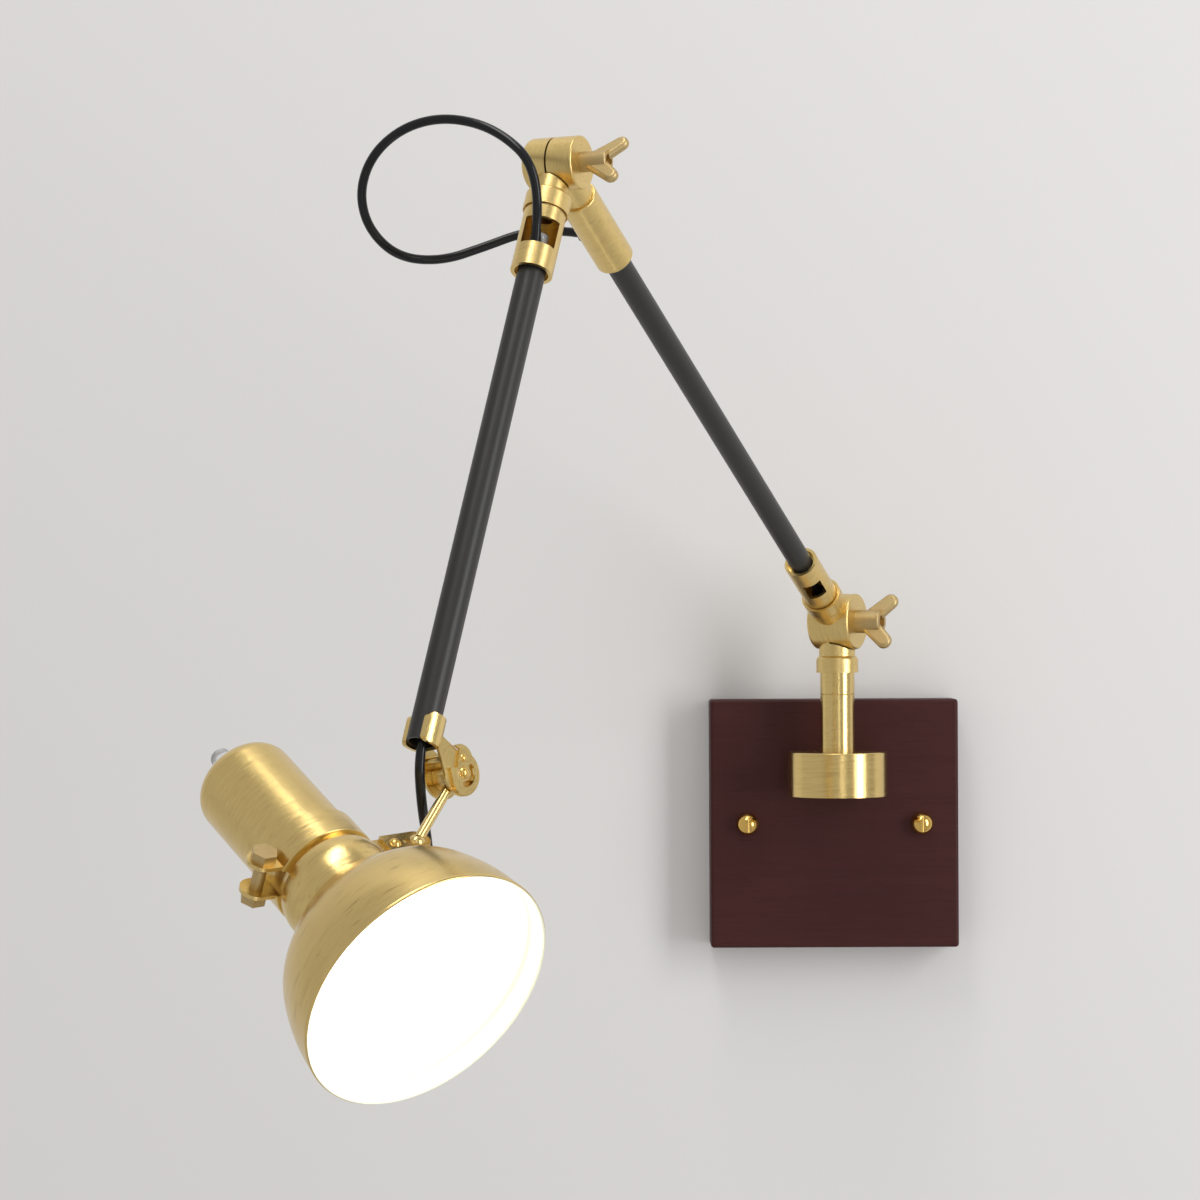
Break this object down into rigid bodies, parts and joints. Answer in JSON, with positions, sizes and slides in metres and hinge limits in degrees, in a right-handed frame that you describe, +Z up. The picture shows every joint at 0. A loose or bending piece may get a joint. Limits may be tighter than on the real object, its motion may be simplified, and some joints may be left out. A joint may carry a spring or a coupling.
{
  "type": "articulating wall lamp",
  "caption": "Articulating wall lamp: square dark plate, upright swivel stem, two tube arms with wing nut hinges, slotted cable cups and a tilting bell-shaped brass head.",
  "frame": {"origin": "centre of the back of the square wall plate, on the wall plane", "axes": "+X right, +Y into the wall, +Z up; the lamp hangs into the room on the -Y side"},
  "size_m": [0.3176, 0.5311, 0.3665],
  "materials": {
    "brushed_brass": "brushed, lacquered",
    "polished_brass": "polished",
    "dark_wood": "satin dark stain",
    "black_tube": "satin black",
    "steel_zinc": "zinc plated",
    "cable_sheath": "glossy black",
    "clear_plastic": "clear",
    "black_rubber": "matte",
    "white_ceramic": "glazed",
    "terminal_plastic": "matte",
    "lit_glass": "opal, lit"
  },
  "bodies": {
    "wall": {"wall_plate": "dark_wood", "crossbar": "steel_zinc", "plate_studs": "steel_zinc", "dome_cap_nuts": "polished_brass", "terminal_block": "terminal_plastic", "drum_shell": "brushed_brass", "drum_cap": "brushed_brass", "threaded_nipples": "steel_zinc", "nipple_nuts": "steel_zinc", "stem_lower": "brushed_brass", "swivel_retainer": "steel_zinc"},
    "swivel": {"stem_upper": "brushed_brass", "wall_knuckle_fixed": "brushed_brass", "wall_hinge_pin": "polished_brass", "wall_hinge_washer": "black_rubber"},
    "wall_wing": {"wall_wing_nut": "brushed_brass"},
    "upper_arm": {"wall_knuckle_moving": "brushed_brass", "wall_arm_cup": "brushed_brass", "upper_arm_tube": "black_tube", "elbow_knuckle_inner": "brushed_brass", "elbow_collar": "brushed_brass", "collar_grommet": "black_rubber", "upper_tube_grommets": "black_rubber", "arm_cable": "cable_sheath"},
    "forearm": {"elbow_knuckle_outer": "brushed_brass", "elbow_hinge_pin": "polished_brass", "elbow_hinge_washer": "black_rubber", "forearm_cup": "brushed_brass", "forearm_tube": "black_tube", "clear_grommet": "clear_plastic", "forearm_tube_grommet": "black_rubber", "yoke_plate_left": "brushed_brass", "yoke_plate_right": "brushed_brass", "yoke_spacer": "brushed_brass", "yoke_pivot": "polished_brass", "yoke_pivot_nut": "polished_brass", "friction_disc": "brushed_brass", "disc_screw": "polished_brass", "forearm_cable": "cable_sheath", "elbow_loop": "cable_sheath"},
    "elbow_wing": {"elbow_wing_nut": "brushed_brass"},
    "head": {"rod_barrel": "brushed_brass", "stop_pin": "polished_brass", "head_rod": "brushed_brass", "rod_foot": "brushed_brass", "tab_screw": "polished_brass", "band_clamp": "brushed_brass", "clamp_bolt": "polished_brass", "clamp_nut": "polished_brass", "socket_cup": "brushed_brass", "cord_gland": "clear_plastic", "lampholder": "white_ceramic", "holder_seat": "black_rubber", "contact_shell": "polished_brass", "centre_contact": "polished_brass", "shade": "brushed_brass", "shade_ring": "polished_brass", "bulb_cap": "steel_zinc", "bulb_glass": "lit_glass", "head_lead": "cable_sheath"}
  },
  "joints": [
    {"name": "stem_swivel", "type": "hinge", "parent": "wall", "child": "swivel", "pos_m": [0, -0.0445, 0.0631], "axis": [0, 0, 1], "range_deg": [-33.5, 86.5]},
    {"name": "wall_hinge", "type": "hinge", "parent": "swivel", "child": "upper_arm", "pos_m": [0, -0.0445, 0.0977], "axis": [0.8949, -0.4462, 0], "range_deg": [-47, 32]},
    {"name": "wall_wing_turn", "type": "hinge", "parent": "swivel", "child": "wall_wing", "pos_m": [0, -0.0445, 0.0977], "axis": [0.8949, -0.4462, 0], "continuous": true},
    {"name": "elbow_hinge", "type": "hinge", "parent": "upper_arm", "child": "forearm", "pos_m": [-0.12899, -0.30321, 0.28045], "axis": [0.8949, -0.4462, 0], "range_deg": [-76, 7], "deforming": ["elbow_loop"]},
    {"name": "elbow_wing_turn", "type": "hinge", "parent": "forearm", "child": "elbow_wing", "pos_m": [-0.12899, -0.30321, 0.28045], "axis": [0.8949, -0.4462, 0], "continuous": true},
    {"name": "head_tilt", "type": "hinge", "parent": "forearm", "child": "head", "pos_m": [-0.16776, -0.39424, 0.04187], "axis": [0.7039, -0.6942, 0.1505], "range_deg": [-25, 25], "deforming": ["head_lead"]}
  ]
}
